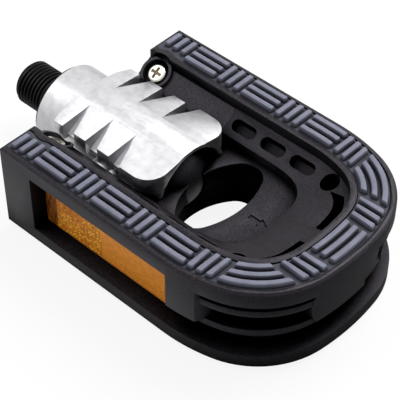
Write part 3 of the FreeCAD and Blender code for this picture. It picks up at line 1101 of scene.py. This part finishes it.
def threadTree(look):  # a ridge wound on a spiral, brought down at the lead end
    tree, given, result = newTree(
        "threadTree", Section="Object", Turns="Float", Reach="Float", Radius="Float",
        Lead="Float", Steel="Material",
    )
    reach, radius = given["Reach"], given["Radius"]
    inputs = {"Resolution": look["turnSteps"], "Rotations": given["Turns"], "Height": reach}
    inputs.update({"Start Radius": radius, "End Radius": radius})
    line = addNode(tree, "GeometryNodeCurveSpiral", inputs).outputs[0]
    ridge = sweep(tree, line, heldBy(tree, given["Section"]))
    place = addNode(tree, "GeometryNodeInputPosition").outputs[0]
    x, y, z = split(tree, place)
    flat = addNode(tree, "ShaderNodeCombineXYZ", {0: x, 1: y}).outputs[0]
    length = addNode(tree, "ShaderNodeVectorMath", {0: flat}, operation="LENGTH").outputs[1]
    z = mathNode(tree, "MINIMUM", mathNode(tree, "MAXIMUM", z, 0.0), reach)
    left = mathNode(tree, "SUBTRACT", reach, z)
    limit = mathNode(tree, "SUBTRACT", radius, given["Lead"])
    limit = mathNode(tree, "ADD", limit, left)
    limit = mathNode(tree, "ADD", limit, look["crest"] - look["root"])
    short = mathNode(tree, "DIVIDE", mathNode(tree, "MINIMUM", length, limit), length)
    place = vectorMath(tree, "ADD", scaled(tree, flat, short), scaled(tree, upward, z))
    inputs = {"Geometry": setPlace(tree, ridge, place), "Rotation": (0, -rightAngle, 0)}
    ridge = addNode(tree, "GeometryNodeTransform", inputs).outputs[0]
    finished(tree, ridge, given["Steel"], result)
    return tree


def spindleThread(look):
    height, sunk = look["crest"] - look["root"], look["ridgeSunk"]
    crestHalf, rootHalf = look["crestWidth"] / 2, look["rootWidth"] / 2
    section = makeCurve("ridgeSection", [
        (-height, -crestHalf, 0), (-height, crestHalf, 0),
        (sunk, rootHalf, 0), (sunk, -rootHalf, 0),
    ], True)
    thread = seedPoint("spindleThread")
    grow(
        thread, threadTree(look), Section=section, Radius=look["root"],
        Turns=(-look["end"] - look["runOut"]) / look["pitch"],
        Reach=-look["end"], Lead=look["lead"], Steel=blackSteel,
    )
    bpy.data.objects.remove(section)
    tidyNormals(thread.data)
    return thread


spindlePieces = [spindleCore(spindleLook), spindleThread(spindleLook)]
spindle = joinInto("threadedSpindle", spindlePieces)
setMaterial(spindle, blackSteel)
shade(spindle.data, spindleLook["smooth"])
hand(spindle, "spindle", "black_steel", "spindle")
print("spindle ready", len(spindle.data.polygons))


# domed end cap with its spigot

capShape = {
    "x": 44.0 * mm,
    "radius": 11.8 * mm,
    "domeSteps": 24,
    "spigot": 9.5 * mm,
    "spigotLong": 2.4 * mm,
    "wall": 1.6 * mm,
    "boreDepth": 3.5 * mm,
    "sides": 72,
    "smooth": 30,
}


def domedCap(shape):
    x, radius, spigot = shape["x"], shape["radius"], shape["spigot"]
    bore = spigot - shape["wall"]
    profile = []
    for k in range(shape["domeSteps"] + 1):
        turn = rightAngle * k / shape["domeSteps"]
        profile.append((x + radius * math.cos(turn), radius * math.sin(turn)))
    low, high = x - shape["spigotLong"], x + shape["boreDepth"]
    profile += [(x, spigot), (low, spigot), (low, bore), (high, bore), (high, 0)]
    cap = lathe("domedCap", profile, shape["sides"])
    shade(cap.data, shape["smooth"])
    setMaterial(cap, capPlastic)
    return cap


hand(domedCap(capShape), "hub", "black_plastic", "end_cap")
print("end cap ready")


# reflectors: framed lens with rows of small prisms behind its border

prismLook = {
    "pitch": 1.25 * mm,
    "share": 0.49,
    "height": 0.16 * mm,
    "sunk": 0.02 * mm,
    "x0": 27.5 * mm,
    "x1": 77.3 * mm,
    "halfHeight": 8.4 * mm,
    "floor": 31.1 * mm,
    "calmX": 48.6 * mm,
    "calm": 0.35,
    "tilt": 0.05,
    "seed": 7,
}


def prismSeed(look):
    half, high = look["pitch"] * look["share"], look["height"]
    corners = [(-half, -half), (half, -half), (half, half), (-half, half)]
    points = [(x, y, -look["sunk"]) for x, y in corners] + [(0, 0, high)]
    faces = [(0, 1, 4), (1, 2, 4), (2, 3, 4), (3, 0, 4), (3, 2, 1, 0)]
    return makeObject("prismSeed", makeMesh("prismSeed", points, faces))


def prismRows(look):  # a grid of prisms, lower past a given place
    tree, given, result = newTree(
        "prismRows", Seed="Object", Long="Float", Tall="Float", Columns="Int", Rows="Int",
        Calm="Float", Amber="Material",
    )
    inputs = {"Size X": given["Long"], "Size Y": given["Tall"]}
    inputs.update({"Vertices X": given["Columns"], "Vertices Y": given["Rows"]})
    grid = addNode(tree, "GeometryNodeMeshGrid", inputs).outputs[0]
    place = addNode(tree, "GeometryNodeInputPosition").outputs[0]
    later = mathNode(tree, "GREATER_THAN", split(tree, place)[0], given["Calm"])
    lower = mapRange(tree, later, unit, (1.0, look["calm"]))
    size = addNode(tree, "ShaderNodeCombineXYZ", {0: 1.0, 1: 1.0, 2: lower}).outputs[0]
    tilt = look["tilt"]
    inputs = {0: (-tilt, -tilt, 0), 1: (tilt, tilt, 0), "Seed": look["seed"]}
    lean = addNode(tree, "FunctionNodeRandomValue", inputs, data_type="FLOAT_VECTOR")
    turn = addNode(tree, "FunctionNodeEulerToRotation", {0: lean.outputs[0]}).outputs[0]
    inputs = {"Points": grid, "Instance": heldBy(tree, given["Seed"])}
    inputs.update({"Rotation": turn, "Scale": size})
    prisms = addNode(tree, "GeometryNodeInstanceOnPoints", inputs).outputs[0]
    finished(tree, prisms, given["Amber"], result)
    return tree


lensEdges = dict(edgeLook, edge=0.16 * mm)
prismTree = prismRows(prismLook)
prism = prismSeed(prismLook)
long = prismLook["x1"] - prismLook["x0"]
tall = 2 * prismLook["halfHeight"]
columns, lines = [round(size / prismLook["pitch"]) + 1 for size in (long, tall)]
middleX = (prismLook["x0"] + prismLook["x1"]) / 2
for side, sign in (("front", -1), ("rear", 1)):
    lens = dressed(side + "_reflector", side + "Lens", amberLens, lensEdges)
    hand(lens, "cage", "amber_lens", side + "_reflector")
    rows = seedPoint(side + "Prisms")
    grow(
        rows, prismTree, Seed=prism, Long=long, Tall=tall, Columns=columns, Rows=lines,
        Calm=prismLook["calmX"] - middleX, Amber=amberLens,
    )
    turnMesh(rows, -rightAngle * sign, "X")
    moveMesh(rows, (middleX, sign * prismLook["floor"], 0))
    hand(rows, "cage", "amber_lens")
bpy.data.objects.remove(prism)
print("reflectors ready")

# what stays as a solid takes its finish straight
plainNodes = {
    "front_reflector_plate": reflectorBack,
    "rear_reflector_plate": reflectorBack,
    "inboard_seal": sealRubber,
    "front_pivot_pin": plainSteel,
    "rear_pivot_pin": plainSteel,
    "front_pivot_block": blackPlastic,
    "rear_pivot_block": blackPlastic,
    "front_spring": plainSteel,
    "rear_spring": plainSteel,
    "inboard_bush": bushBronze,
    "outboard_bush": bushBronze,
    "thrust_washer": plainSteel,
    "lock_nut": plainSteel,
}
for nodeName, finish in plainNodes.items():
    setMaterial(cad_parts[nodeName], finish)
print("hidden solids finished")

# studio: pale floor, white surround and three soft lamps, each given by its place,
# size and power. Floor and surround are dimmer in mirror images past the outer end
studio = {
    "floorSize": 6.0,
    "floorPale": 0.93,
    "floorRough": 0.9,
    "floorLift": 0.88,
    "floorShade": ((70.0 * mm, 120.0 * mm), (0.67, 0.12)),
    "surroundFill": 0.45,
    "shadeSide": (0.80, -0.55, -0.22),
    "shadeFrom": -0.10,
    "shadeLevel": 0.35,
    "target": (37.013 * mm, 21.578 * mm, -33.118 * mm),
    "azimuth": 43.083,
    "elevation": 44.908,
    "distance": 460.78 * mm,
    "focalPixels": 1453.98,
    "framePixels": 400,
    "sensor": 36.0,
    "clip": (0.01, 20.0),
    "lamps": {
        "keyLamp": ((-0.36, -0.25, 0.60), 0.50, 1.0),
        "topLamp": ((0.10, 0.42, 0.62), 0.55, 5.0),
        "rimLamp": ((0.45, 0.55, 0.30), 0.40, 0.5),
    },
}


def cameraRay(tree):
    return addNode(tree, "ShaderNodeLightPath").outputs["Is Camera Ray"]


def pathRays(tree):  # rays that should meet the white surround
    rays = addNode(tree, "ShaderNodeLightPath").outputs
    seen = rays["Is Camera Ray"]
    for other in ("Is Glossy Ray", "Is Transmission Ray"):
        seen = mathNode(tree, "MAXIMUM", seen, rays[other])
    return seen


def whiteSurround(look):
    world = bpy.data.worlds.new("whiteSurround")
    world.use_nodes = True
    tree = world.node_tree
    away = addNode(tree, "ShaderNodeTexCoord").outputs["Generated"]
    inputs = {0: away, 1: look["shadeSide"]}
    away = addNode(tree, "ShaderNodeVectorMath", inputs, operation="DOT_PRODUCT").outputs[1]
    mirrored = mapRange(tree, away, (look["shadeFrom"], 1.0), (1.0, look["shadeLevel"]))
    mirrored = mathNode(tree, "MAXIMUM", mirrored, cameraRay(tree))
    level = mapRange(tree, pathRays(tree), unit, (look["surroundFill"], mirrored))
    backdrop = tree.nodes["Background"]
    backdrop.inputs["Color"].default_value = white
    tree.links.new(level, backdrop.inputs["Strength"])
    return world


def studioFloor(look):
    half, pale = look["floorSize"] / 2, look["floorPale"]
    turns = ((-1, -1), (1, -1), (1, 1), (-1, 1))
    corners = [(x * half, y * half, cadLow.z) for x, y in turns]
    made = makeObject("studioFloor", makeMesh("studioFloor", corners, [(0, 1, 2, 3)]))
    paper, tree, shader = newMaterial("floorPaper", {
        "Base Color": (pale, pale, pale, 1),
        "Roughness": look["floorRough"],
        "Specular IOR Level": 0.0,
    })
    outboard = split(tree, objectPlace(tree))[0]
    dimmed = mapRange(tree, outboard, *look["floorShade"])
    dimmed = mathNode(tree, "MAXIMUM", dimmed, cameraRay(tree))
    glow = addNode(tree, "ShaderNodeEmission", {"Color": white, "Strength": dimmed})
    share = mathNode(tree, "MULTIPLY", pathRays(tree), look["floorLift"])
    inputs = {0: share, 1: shader.outputs[0], 2: glow.outputs[0]}
    both = addNode(tree, "ShaderNodeMixShader", inputs).outputs[0]
    tree.links.new(both, tree.nodes["Material Output"].inputs["Surface"])
    setMaterial(made, paper)
    return made


def studioLamp(name, place, size, power):
    lamp = bpy.data.lights.new(name, "AREA")
    lamp.shape = "DISK"
    lamp.size = size
    lamp.energy = power
    made = makeObject(name, lamp)
    made.location = place
    aim = (cadLow + cadHigh) / 2 - Vector(place)
    made.rotation_euler = aim.to_track_quat("-Z", "Y").to_euler()


def photoCamera(look):
    around, above = math.radians(look["azimuth"]), math.radians(look["elevation"])
    flat = math.cos(above)
    back = Vector((math.sin(around) * flat, -math.cos(around) * flat, math.sin(above)))
    optics = bpy.data.cameras.new("photoCamera")
    optics.sensor_width = look["sensor"]
    optics.lens = look["focalPixels"] * optics.sensor_width / look["framePixels"]
    optics.clip_start, optics.clip_end = look["clip"]
    made = makeObject("photoCamera", optics)
    made.location = Vector(look["target"]) + back * look["distance"]
    made.rotation_euler = (-back).to_track_quat("-Z", "Y").to_euler()
    return made


scene.world = whiteSurround(studio)
floor = studioFloor(studio)
for lampName, settings in studio["lamps"].items():
    studioLamp(lampName, *settings)
scene.camera = photoCamera(studio)
scene.view_settings.view_transform = "Standard"
print("studio and camera ready")
